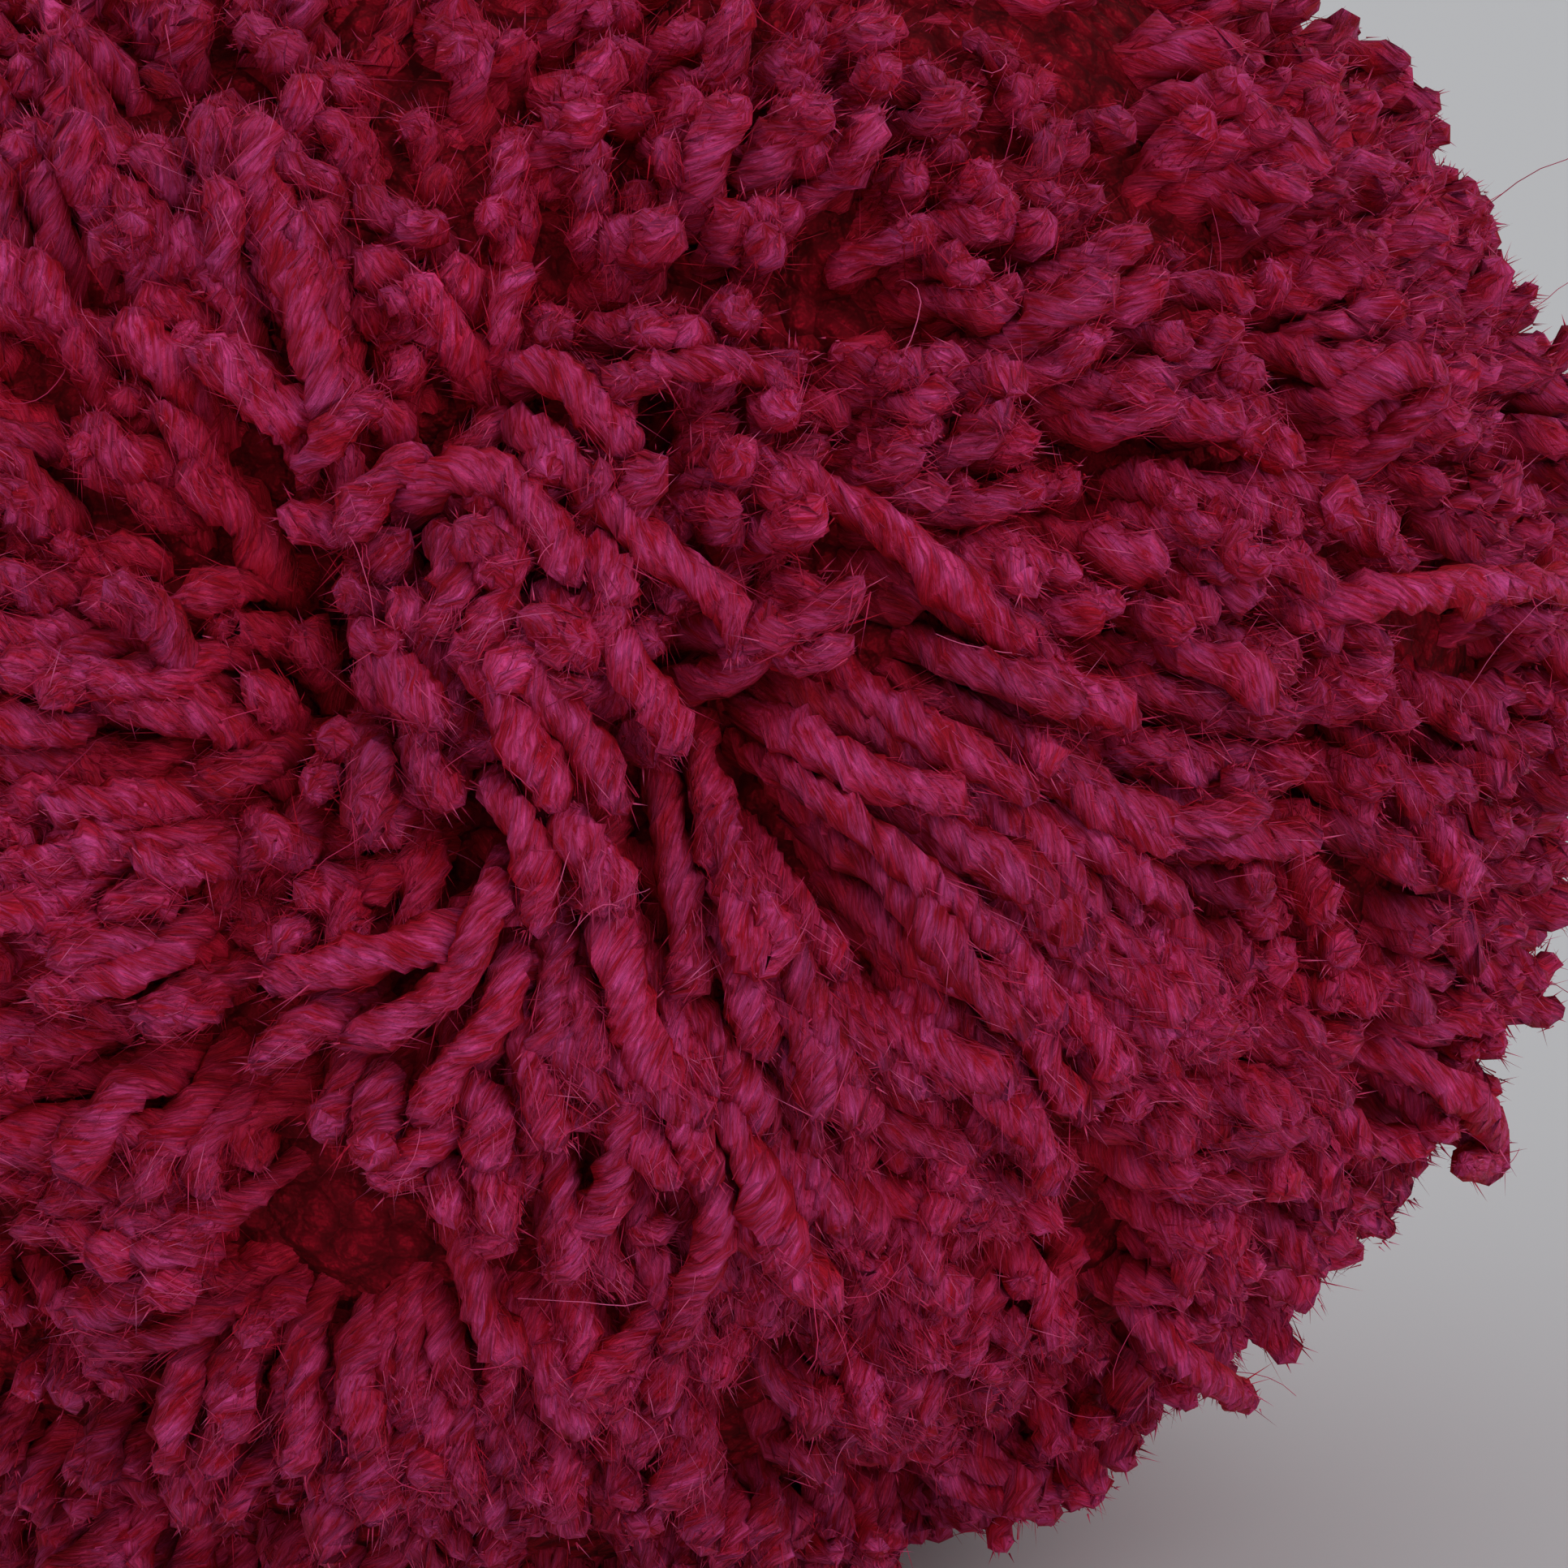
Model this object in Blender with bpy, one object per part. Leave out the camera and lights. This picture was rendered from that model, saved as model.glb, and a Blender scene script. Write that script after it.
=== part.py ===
"""Yarn pom pom: a dense, slightly squashed ball of cut yarn that rests on a surface.

Metres, +Z up. The origin is on the surface, under the middle of the ball. The yarn parts on
the side that faces -Y, and less so at the back, and leans away from each parting.
"""

import math

import bmesh
import bpy
import numpy as np
from mathutils import Vector

# The ball of yarn tips, before the locks below are shortened to stand level on the surface.
HALF_WIDTH = 0.049
HALF_DEPTH = 0.044
HALF_HEIGHT = 0.043
CENTRE_HEIGHT = 0.0394

# The tied middle that all the locks grow from, as a share of the ball.
HEAD_SHARE = 0.58

# The corners between locks. About twice as many triangles join in pairs into the locks' roots.
CORNER_COUNT = 258
CORNER_SEED = 7
SPREADING_STEPS = 90
LONGEST_STEP = 0.5  # of the distance between two corners

# The locks: the gap between two roots, how far a tip strays, and how long a lock is beside the ball.
ROOT_GAP = 0.0011
TIP_WANDER = 0.0008
SHORTEST_LOCK = 0.90
LONGEST_LOCK = 0.99
LOCK_SEED = 1

# The rings of a lock, as shares of its length and of its root's width.
LOCK_RINGS = (
    {"along": 0.66, "width": 0.93},
    {"along": 1.00, "width": 0.66},
)

# Where the yarn parts: the side that it faces, how far it pushes the tips, how wide it reaches.
PARTINGS = (
    {"azimuth_deg": -90.0, "elevation_deg": 12.0, "push": 0.46, "reach_deg": 62.0},
    {"azimuth_deg": 115.0, "elevation_deg": 30.0, "push": 0.25, "reach_deg": 48.0},
)

# A lock whose tip would reach this close to the surface stands level on it.
STANDING_REACH = 0.0006
CLEAR_OF_SURFACE = 0.0009

YARN_COLOUR = (0.30, 0.012, 0.055, 1.0)
YARN_ROUGHNESS = 0.95


def clear_scene():
    for obj in list(bpy.data.objects):
        bpy.data.objects.remove(obj)


def yarn_material():
    material = bpy.data.materials.new("yarn")
    material.use_nodes = True
    shader = material.node_tree.nodes["Principled BSDF"]
    shader.inputs["Base Color"].default_value = YARN_COLOUR
    shader.inputs["Roughness"].default_value = YARN_ROUGHNESS
    shader.inputs["Metallic"].default_value = 0.0
    return material


def even_directions(count, seed, steps):
    """Directions that start at random and push each other apart, so they are even but not regular."""
    directions = np.random.default_rng(seed).normal(size=(count, 3))
    directions /= np.linalg.norm(directions, axis=1)[:, None]
    spacing = math.sqrt(4 * math.pi / count)
    for step in range(steps):
        apart = directions[:, None] - directions[None]
        distance = np.linalg.norm(apart, axis=2) + np.eye(count)
        push = (apart / distance[..., None] ** 4).sum(axis=1)
        push /= np.linalg.norm(push, axis=1).max()
        directions += push * spacing * LONGEST_STEP * (1 - step / steps)
        directions /= np.linalg.norm(directions, axis=1)[:, None]
    return [Vector(direction) for direction in directions]


def direction_to(azimuth_deg, elevation_deg):
    azimuth, elevation = math.radians(azimuth_deg), math.radians(elevation_deg)
    return Vector(
        (
            math.cos(azimuth) * math.cos(elevation),
            math.sin(azimuth) * math.cos(elevation),
            math.sin(elevation),
        )
    )


def ball_radius(direction):
    """Distance from the ball's centre to its surface, in a unit direction."""
    x, y, z = direction.x / HALF_WIDTH, direction.y / HALF_DEPTH, direction.z / HALF_HEIGHT
    return 1 / math.sqrt(x * x + y * y + z * z)


def lean_at(direction):
    """How far the tip of a lock that grows in this direction is pushed, in ball radii."""
    lean = Vector()
    for parting in PARTINGS:
        side = direction_to(parting["azimuth_deg"], parting["elevation_deg"])
        angle = direction.angle(side)
        fade = math.exp(-((angle / math.radians(parting["reach_deg"])) ** 2))
        away = direction * direction.dot(side) - side
        lean += away * parting["push"] * fade
    return lean


def head_with_roots(centre):
    """The tied middle as a closed shell, with one inset face for the root of each lock."""
    bm = bmesh.new()
    for direction in even_directions(CORNER_COUNT, CORNER_SEED, SPREADING_STEPS):
        bm.verts.new(centre + direction * ball_radius(direction) * HEAD_SHARE)
    bmesh.ops.convex_hull(bm, input=bm.verts)
    bmesh.ops.join_triangles(
        bm,
        faces=bm.faces,
        angle_face_threshold=math.pi,
        angle_shape_threshold=math.pi,
    )
    bmesh.ops.recalc_face_normals(bm, faces=bm.faces)
    roots = list(bm.faces)
    bmesh.ops.inset_individual(bm, faces=roots, thickness=ROOT_GAP / 2, use_even_offset=True)
    return bm, roots


def ring_of(root, centre, along, width, wander, length):
    """A lock's corners at one share of its length, from its root's corners."""
    middle = root["middle"]
    direction = (middle - centre).normalized()
    leaned = (direction + (lean_at(direction) + wander) * along**2).normalized()
    share = HEAD_SHARE + (1 - HEAD_SHARE) * along * length
    ring_centre = centre + leaned * ball_radius(leaned) * share
    turn = direction.rotation_difference(leaned)
    growth = width * share / HEAD_SHARE
    return [ring_centre + turn @ ((corner - middle) * growth) for corner in root["corners"]]


def shorten_to_surface(ring, centre):
    """The end ring of a lock that points down, brought up to stand level or clear of z = 0."""
    middle = sum(ring, Vector()) / len(ring)
    if middle.z < STANDING_REACH:
        return [centre + (point - centre) * centre.z / (centre.z - point.z) for point in ring], True
    lowest = min(point.z for point in ring)
    if lowest < CLEAR_OF_SURFACE:
        lift = Vector((0, 0, CLEAR_OF_SURFACE - lowest))
        return [point + lift for point in ring], False
    return ring, False


def rings_of_lock(corners, centre, rng):
    """The corners of a lock from its root outward, ring by ring."""
    root = {"corners": corners, "middle": sum(corners, Vector()) / len(corners)}
    wander = Vector(rng.uniform(-1, 1, 3)) * (TIP_WANDER / HALF_DEPTH)
    length = rng.uniform(SHORTEST_LOCK, LONGEST_LOCK)
    rings = [
        ring_of(root, centre, ring["along"], ring["width"], wander, length) for ring in LOCK_RINGS
    ]
    rings[-1], standing = shorten_to_surface(rings[-1], centre)
    if standing:
        share = LOCK_RINGS[0]["along"]
        rings[0] = [corner.lerp(end, share) for corner, end in zip(corners, rings[-1])]
    return rings


def grow_locks(bm, roots, centre):
    """Walls every root outward through its rings, as separate locks that meet only at the head."""
    rng = np.random.default_rng(LOCK_SEED)
    for root in roots:
        inner = list(root.verts)
        rings = rings_of_lock([vert.co.copy() for vert in inner], centre, rng)
        bm.faces.remove(root)
        for ring in rings:
            outer = [bm.verts.new(place) for place in ring]
            for corner in range(len(ring)):
                bm.faces.new((inner[corner - 1], inner[corner], outer[corner], outer[corner - 1]))
            inner = outer
        bm.faces.new(inner)


def build_pompom():
    centre = Vector((0, 0, CENTRE_HEIGHT))
    bm, roots = head_with_roots(centre)
    grow_locks(bm, roots, centre)
    mesh = bpy.data.meshes.new("yarn_pompom")
    bm.to_mesh(mesh)
    bm.free()
    low = Vector([min(vert.co[axis] for vert in mesh.vertices) for axis in range(3)])
    high = Vector([max(vert.co[axis] for vert in mesh.vertices) for axis in range(3)])
    middle = (low + high) / 2
    for vert in mesh.vertices:
        vert.co -= Vector((middle.x, middle.y, 0))
    pompom = bpy.data.objects.new("yarn_pompom", mesh)
    pompom.data.materials.append(yarn_material())
    return pompom


def main():
    clear_scene()
    collection = bpy.data.collections.new("yarn_pom_pom")
    bpy.context.scene.collection.children.link(collection)
    collection.objects.link(build_pompom())


main()
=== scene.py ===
import math

import bmesh
import bpy
import numpy as np
from mathutils import Matrix, Vector


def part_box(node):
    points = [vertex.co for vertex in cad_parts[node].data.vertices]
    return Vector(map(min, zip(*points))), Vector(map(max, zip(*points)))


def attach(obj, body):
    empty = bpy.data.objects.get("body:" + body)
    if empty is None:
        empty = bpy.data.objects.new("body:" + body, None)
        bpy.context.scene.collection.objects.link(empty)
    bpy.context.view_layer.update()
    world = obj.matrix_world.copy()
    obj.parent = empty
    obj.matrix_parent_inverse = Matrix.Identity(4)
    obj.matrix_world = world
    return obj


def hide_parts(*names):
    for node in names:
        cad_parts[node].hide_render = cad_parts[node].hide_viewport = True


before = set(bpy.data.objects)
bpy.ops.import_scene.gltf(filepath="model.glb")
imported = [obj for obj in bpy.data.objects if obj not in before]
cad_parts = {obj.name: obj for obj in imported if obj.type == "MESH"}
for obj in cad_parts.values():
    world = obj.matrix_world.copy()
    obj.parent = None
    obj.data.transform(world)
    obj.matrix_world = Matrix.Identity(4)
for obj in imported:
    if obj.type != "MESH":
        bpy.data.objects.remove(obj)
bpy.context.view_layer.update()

# The ball of tips
LOW, HIGH = (np.array(corner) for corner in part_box("yarn_pompom"))
MIDDLE_RISE = 0.482  # of the height, because the foot is pressed flat
TIP_REACH = 1.004  # of the solid's reach, because only a few locks end that far out
CENTRE = np.array([(LOW[0] + HIGH[0]) / 2, (LOW[1] + HIGH[1]) / 2, HIGH[2] * MIDDLE_RISE])
HALF_SIZES = np.array([(HIGH[0] - LOW[0]) / 2, (HIGH[1] - LOW[1]) / 2, HIGH[2] - CENTRE[2]]) * TIP_REACH

# The camera, and the photograph's frame as it lies in the plane through the ball's middle
CAMERA_ELEVATION = math.radians(12)
CAMERA_DISTANCE = 0.32
FRAME_WIDTH = 0.069
AIM_RIGHT = 0.0131
AIM_UP = -0.0046
SENSOR_WIDTH = 0.036
TO_CAMERA = np.array([0, -math.cos(CAMERA_ELEVATION), math.sin(CAMERA_ELEVATION)])
RIGHT = np.array([1.0, 0, 0])
UP = np.array([0, math.sin(CAMERA_ELEVATION), math.cos(CAMERA_ELEVATION)])
CAMERA_PLACE = CENTRE + RIGHT * AIM_RIGHT + UP * AIM_UP + TO_CAMERA * CAMERA_DISTANCE

# The yarn
PLY_RADIUS = 0.00077
PLY_OFFSET = 0.00016
YARN_SWELL = 0.13  # of its radius, along a strand
THINNEST, THICKEST = 0.86, 1.14  # of the radius, from strand to strand
TWIST_PITCH = 0.0062
PITCH_SPREAD = 0.30  # of the pitch, from strand to strand
MOST_TURN = math.radians(62)  # between two rings of a tube

YARN_KNOTS = 7  # places along a strand where its radius swells or shrinks
MOST_SWELL = 1.6
YARN_AROUND = 0.0055  # round a strand, in the yarn's own pattern
TIP_PUSH = 0.0004  # how far the cut end stands out past the last ring
LAST_RING_BUT_ONE = 0.96  # of the radius, where the cut end starts to close

# The strands. Those near the camera show more of their length, so they start deeper. uneven is
# how much the radius strays from point to point.
STRAND_COUNT = 5200
CLUMP_COUNT = 320
STRAND_JITTER = 0.34  # of the distance between two roots
CLUMP_PULL = 0.25
DETAIL = (
    {"name": "near", "out_to_deg": 43, "columns": 8, "buried": 1, "shown": 12, "uneven": 0.13}
    | {"start": 0.70, "fuller": 1.00, "blunt": 0.60, "fibre": 1.0},
    {"name": "edge", "out_to_deg": 76, "columns": 6, "buried": 1, "shown": 6, "uneven": 0.09}
    | {"start": 0.76, "fuller": 1.04, "blunt": 0.66, "fibre": 0.85},
    {"name": "side", "out_to_deg": 98, "columns": 5, "buried": 1, "shown": 4, "uneven": 0.07}
    | {"start": 0.78, "fuller": 1.14, "blunt": 0.74, "fibre": 0.6},
    {"name": "far", "out_to_deg": 180, "columns": 5, "buried": 1, "shown": 3, "uneven": 0.07}
    | {"start": 0.79, "fuller": 1.22, "blunt": 0.78, "fibre": 0.6},
)
DETAIL_MIDDLE = TO_CAMERA * 0.95 + RIGHT * 0.27 - UP * 0.11  # the middle of the photograph

# How the yarn is combed away from the parting that faces the camera. Bearings turn left from the
# image's right. Push is a share of FULL_PUSH, and turn bends the combing away from the radius.
# length is how far the yarn reaches at the ball's outline.
FULL_PUSH = math.radians(19)
PUSH_RISE = math.radians(11)
PUSH_REACH = math.radians(38)
COMBING = (
    {"bearing": -180, "push": 0.60, "turn": -10, "length": 1.000},
    {"bearing": -135, "push": 0.75, "turn": -24, "length": 1.050},
    {"bearing": -90, "push": 0.85, "turn": 0, "length": 1.020},
    {"bearing": -60, "push": 0.95, "turn": -6, "length": 0.945},
    {"bearing": -30, "push": 1.00, "turn": -10, "length": 0.978},
    {"bearing": 0, "push": 0.95, "turn": -34, "length": 0.988},
    {"bearing": 25, "push": 0.50, "turn": -40, "length": 1.038},
    {"bearing": 50, "push": 0.20, "turn": -30, "length": 1.030},
    {"bearing": 80, "push": 0.25, "turn": 0, "length": 1.000},
    {"bearing": 110, "push": 0.55, "turn": 0, "length": 1.000},
    {"bearing": 140, "push": 0.60, "turn": -15, "length": 1.000},
    {"bearing": 180, "push": 0.60, "turn": -10, "length": 1.000},
)
BACK_PARTING = {"azimuth": math.radians(115), "elevation": math.radians(30)} | {
    "push": 0.25,
    "reach": math.radians(48),
}
WHORL_REACH = math.radians(13)  # inside it the strands lie every way
WHORL_TURN = math.radians(95)
WHORL_PUSH = (-0.3, 1.6)

# How much the strands stray, from clump to clump and from strand to strand
STRAY = {
    "turn": {"clump": math.radians(13), "strand": math.radians(9)},
    "push": {"clump": 0.16, "strand": 0.12},
    "tip": {"clump": 0.020, "strand": 0.036},
    "length": {"clump": 0.017, "strand": 0.016},
    "bright": {"clump": 0.08, "strand": 0.09},
}
MEAN_LENGTH = 0.988
SHORTEST, LONGEST = 0.88, 1.07
DULLEST, BRIGHTEST = 0.7, 1.3
SWAY = 0.0006
SWAYS = ({"waves": 1.1, "share": 1.0}, {"waves": 2.6, "share": 0.45})
LOWEST_MIDDLE = 0.0009  # of a strand above the floor

# Shorter strands that fill in: where the yarn parts, over the middle of the photograph, and at its
# upper right
FILLS = (
    {"middle": TO_CAMERA, "count": 200, "spread": 0.24, "length": 0.945},
    {"middle": DETAIL_MIDDLE, "count": 172, "spread": 0.45, "length": 0.955},
    {"middle": RIGHT * 0.82 + UP * 0.38 + TO_CAMERA * 0.45, "count": 26, "spread": 0.08}
    | {"length": 0.985},
)

# Strands that stand out in the photograph, each as its points' places in the image: millimetres to
# the right of the ball's middle and above it. rise is how far a strand's points lie above the ball
# of tips, and its first point is sunk among its neighbours.
PLACED = (
    {"rise": -0.6, "right": (1.9, 3.3, 4.5, 5.7, 6.4), "up": (14.2, 13.3, 12.2, 11.0, 10.0)},
    {"rise": -0.2, "right": (5.6, 7.6, 9.9, 12.3, 13.2, 13.1), "up": (12.7, 13.7, 13.9, 13.6, 12.6, 11.4)},
    {"rise": -0.7, "right": (-8.2, -7.1, -6.0, -4.8), "up": (9.6, 10.4, 11.5, 12.4)},
    {"rise": -0.7, "right": (-3.3, -4.4, -5.5, -6.2), "up": (9.8, 8.8, 7.4, 6.3)},
    {"rise": -0.8, "right": (-3.2, -1.7, 0.3, 1.8, 3.0, 3.9), "up": (8.3, 9.1, 8.9, 7.7, 6.1, 4.4)},
    {"rise": -0.9, "right": (1.6, 3.0, 4.2, 6.0, 7.6, 9.5, 10.8, 11.2)}
    | {"up": (11.5, 10.2, 8.8, 7.1, 5.5, 4.4, 3.1, 1.0)},
    {"rise": -0.6, "right": (-2.2, -1.4, -1.7, -2.6), "up": (6.5, 4.7, 3.1, 2.3)},
    {"rise": -0.5, "right": (0.5, 1.1, 0.5, -0.6, -1.3), "up": (7.1, 5.3, 3.1, 1.7, 1.3)},
    {"rise": -0.9, "right": (0.5, 1.8, 2.7, 4.1, 4.9, 6.0), "up": (2.0, 0.3, -1.0, -2.3, -3.8, -5.6)},
    {"rise": -1.0, "right": (-1.1, 0.3, 1.3, 2.4, 3.3), "up": (1.4, -0.4, -2.1, -3.8, -5.6)},
    {"rise": -0.7, "right": (4.9, 6.0, 7.4, 8.6), "up": (3.1, 0.9, -1.0, -3.0)},
    {"rise": -0.9, "right": (3.0, 3.8, 4.1), "up": (3.6, 2.0, 0.6)},
    {"rise": -0.9, "right": (4.6, 5.6, 5.7), "up": (5.8, 4.4, 3.1)},
    {"rise": -0.9, "right": (-4.4, -3.0, -2.1), "up": (0.6, -0.8, -1.9)},
    {"rise": -0.4, "right": (3.8, 4.6, 5.1), "up": (-6.6, -8.1, -10.1)},
    {"rise": -0.4, "right": (4.7, 5.6, 5.9), "up": (-7.7, -8.6, -10.1)},
    {"rise": -0.8, "right": (0.6, 1.8, 2.3, 2.3), "up": (-5.2, -7.0, -9.0, -11.0)},
    {"rise": -0.7, "right": (0.6, -0.3, -0.8, -2.0, -3.9, -6.3)}
    | {"up": (-9.2, -10.8, -12.6, -13.8, -15.0, -16.0)},
    {"rise": -0.7, "right": (1.1, 0.3, -1.2, -2.3, -3.0), "up": (-13.2, -15.0, -16.6, -18.2, -19.4)},
    {"rise": -0.3, "right": (-1.5, -3.1, -4.9), "up": (-20.0, -20.7, -22.0)},
    {"rise": -0.6, "right": (5.6, 6.2, 6.6, 8.0, 8.9, 9.9)}
    | {"up": (-11.4, -13.8, -15.8, -17.6, -19.8, -22.0)},
    {"rise": -0.5, "right": (10.6, 11.8, 12.5, 13.3, 14.2), "up": (-19.1, -21.5, -23.5, -25.3, -27.1)},
    {"rise": -0.8, "right": (6.2, 5.9, 5.6, 5.0, 3.2), "up": (-17.6, -19.4, -21.8, -23.3, -25.3)},
    {"rise": -0.4, "right": (10.5, 9.9, 8.9, 8.1), "up": (-22.9, -25.0, -27.1, -29.8)},
    {"rise": -0.3, "right": (11.1, 11.2, 12.1, 12.7, 12.0), "up": (-9.5, -11.0, -12.3, -11.4, -9.5)},
    {"rise": -1.0, "right": (-1.2, -4.2, -7.1, -9.6), "up": (-11.4, -12.0, -12.6, -13.2)},
    {"rise": -0.9, "right": (5.6, 3.8, 2.1), "up": (-15.7, -17.2, -18.6)},
    {"rise": -0.5, "right": (-7.1, -7.7, -8.8, -9.6), "up": (12.5, 15.4, 18.9, 22.1)},
    {"rise": -0.9, "right": (11.8, 15.7, 19.8, 24.6), "up": (10.0, 8.0, 4.8, 1.0)},
    {"rise": -0.6, "right": (14.3, 17.9, 21.4, 22.9), "up": (-4.6, -7.5, -10.4, -11.8)},
    {"rise": 1.0, "right": (39.0, 41.4, 44.6, 48.2), "up": (3.6, 3.9, 4.1, 4.4)},
    {"rise": 0.8, "right": (42.5, 43.4, 44.2, 44.1, 43.0), "up": (-17.9, -18.6, -19.9, -21.1, -21.3)},
    {"rise": 0.8, "right": (31.0, 32.3, 33.6), "up": (-30.2, -31.0, -31.8)},
)
PLACED_RINGS = 18
PLACED_SUNK = 0.0035

# Loose fibres, in metres, with how many each strand has in each zone. forward, outward and stray
# share out the way they point: along the yarn, away from it, and anyhow.
NAP = (
    {"near": 38, "edge": 16, "side": 2, "far": 1, "length": 0.0015, "base": 0.000036}
    | {"forward": 1.5, "outward": 0.18, "stray": 0.30},
    {"near": 7, "edge": 2, "side": 1, "far": 0, "length": 0.0008, "base": 0.000016}
    | {"forward": 0.5, "outward": 0.30, "stray": 0.75},
)
TIP_NAP = {"near": 10, "edge": 9, "side": 4, "far": 2, "length": 0.00070, "base": 0.000048} | {
    "forward": 1.3,
    "outward": 0.50,
    "stray": 0.26,
    "lit": 0.7,
}
NAP_TRIES = 5  # places drawn for every fibre that is wanted
NAP_ROOT = 0.93  # of the yarn's radius
NAP_FACING = -0.1  # the least that a fibre's place faces out from the ball
NAP_LIT = 1.2
NAP_LENGTHS = (0.35, 1.7)  # the least and most, as shares of a kind's length
NAP_SHOWN = 0.45  # the share of a strand, from its start, that stays bare
NAP_TURNS_BACK = 0.84  # of a strand, past which its fibres lie back from the cut end
HAIRS = {"near": 200, "edge": 200, "side": 120, "far": 160}
HAIR_RINGS = 8
HAIR_RADIUS = 0.000028
HAIR_LENGTHS = (0.0012, 0.009)
HAIR_CURL = 0.35

# How the yarn's painted light changes with depth: it is painted lit down to LEVEL_DEPTH and fades
# to painted shade over LIT_DEPTH. Where the strands part, they sink by DIMPLE_DEPTH of the ball's radius.
LEVEL_DEPTH = 0.0006
LIT_DEPTH = 0.0025
# UPRIGHT_LIT and LAST_RING_LIT give painted light: strands that point straight out, and the cut ends,
# count as sides that face out.
UPRIGHT_LIT = 0.3  # how much a strand that points straight out counts as facing out
LAST_RING_LIT = 0.9
NAP_DEPTH = 0.0035
DIMPLE_DEPTH = 0.05
DIMPLE_REACH = math.radians(16)

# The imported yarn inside, as shares of the ball's radius. It sinks INNER_DIMPLE times as far as the
# strands do where they part, and its bumps are waves over the ball.
INNER_DETAIL = 4
INNER_REACH = 0.925
INNER_LOWEST = 0.001  # above the floor
INNER_DIMPLE = 3
INNER_BUMPS = (
    {"wave": 9, "height": 0.010},
    {"wave": 21, "height": 0.008},
    {"wave": 43, "height": 0.006},
)
MOST_TRIANGLES = 190000  # in a piece

FLOOR_SIZE = 6.0
FLOOR_COLOUR = (0.845, 0.845, 0.86, 1)
KEY_STRENGTH = 0.60
KEY_SPREAD = math.radians(40)
KEY_FROM = RIGHT * 0.7 + UP * 0.55 + TO_CAMERA
ROOM_STRENGTH = 0.455
ROOM_COLOUR = (0.97, 0.98, 1.0, 1)


def unit(vectors):
    return vectors / np.linalg.norm(vectors, axis=-1, keepdims=True)


def dot(a, b):
    return (a * b).sum(axis=-1)


def even_directions(count, jitter, rng):
    """Directions spread evenly over the sphere along a spiral, each moved a little at random."""
    golden = math.pi * (3 - math.sqrt(5))
    height = 1 - 2 * (np.arange(count) + 0.5) / count
    across = np.sqrt(1 - height**2)
    turn = golden * np.arange(count)
    points = np.stack([across * np.cos(turn), across * np.sin(turn), height], axis=1)
    spacing = math.sqrt(4 * math.pi / count)
    return unit(points + rng.normal(size=points.shape) * spacing * jitter * 0.6)


def ball_radius(directions):
    """Distance from the ball's middle to its surface, in unit directions."""
    return 1 / np.linalg.norm(directions / HALF_SIZES, axis=-1)


def tangents_at(directions):
    """Two unit vectors across each direction: one to the image's right, one towards its top."""
    right = unit(RIGHT + 1e-6 - directions * dot(directions, RIGHT + 1e-6)[..., None])
    return right, np.cross(directions, right)


def turned(vectors, axes, angles):
    """Vectors turned about unit axes that lie across them."""
    return vectors * np.cos(angles)[..., None] + np.cross(axes, vectors) * np.sin(angles)[..., None]


def combed_from_front(directions, loose_turn, loose_push):
    """The sideways push of each tip away from the parting that faces the camera, in radians."""
    towards = unit(CAMERA_PLACE - CENTRE)
    angle = np.arccos(np.clip(dot(directions, towards), -1, 1))
    away = unit(directions * dot(directions, towards)[..., None] - towards + 1e-9)
    bearing = np.degrees(np.arctan2(dot(away, UP), dot(away, RIGHT)))
    table = {key: [row[key] for row in COMBING] for key in COMBING[0]}
    push = np.interp(bearing, table["bearing"], table["push"])
    turn = np.radians(np.interp(bearing, table["bearing"], table["turn"])) + loose_turn
    strength = push * FULL_PUSH * loose_push
    strength *= (1 - np.exp(-((angle / PUSH_RISE) ** 2))) * np.exp(-((angle / PUSH_REACH) ** 2))
    return turned(away, directions, turn) * strength[..., None]


def outline_length(directions):
    """How far the yarn reaches in each direction, as a share of the ball: 1 in front and behind."""
    towards = unit(CAMERA_PLACE - CENTRE)
    across = np.sqrt(1 - np.clip(dot(directions, towards), -1, 1) ** 2)
    bearing = np.degrees(np.arctan2(dot(directions, UP), dot(directions, RIGHT)))
    bearings = [row["bearing"] for row in COMBING]
    return 1 + (np.interp(bearing, bearings, [row["length"] for row in COMBING]) - 1) * across**2


def combed_from_back(directions):
    azimuth, elevation = BACK_PARTING["azimuth"], BACK_PARTING["elevation"]
    side = np.array(
        [
            math.cos(azimuth) * math.cos(elevation),
            math.sin(azimuth) * math.cos(elevation),
            math.sin(elevation),
        ]
    )
    angle = np.arccos(np.clip(dot(directions, side), -1, 1))
    away = unit(directions * dot(directions, side)[..., None] - side + 1e-9)
    strength = BACK_PARTING["push"] * np.sin(angle) * np.exp(-((angle / BACK_PARTING["reach"]) ** 2))
    return away * strength[..., None]


def pushed(directions, push):
    """Directions moved along the sphere by a sideways push in radians."""
    amount = np.linalg.norm(push, axis=-1, keepdims=True)
    return directions * np.cos(amount) + push * np.sinc(amount / math.pi)


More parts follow.
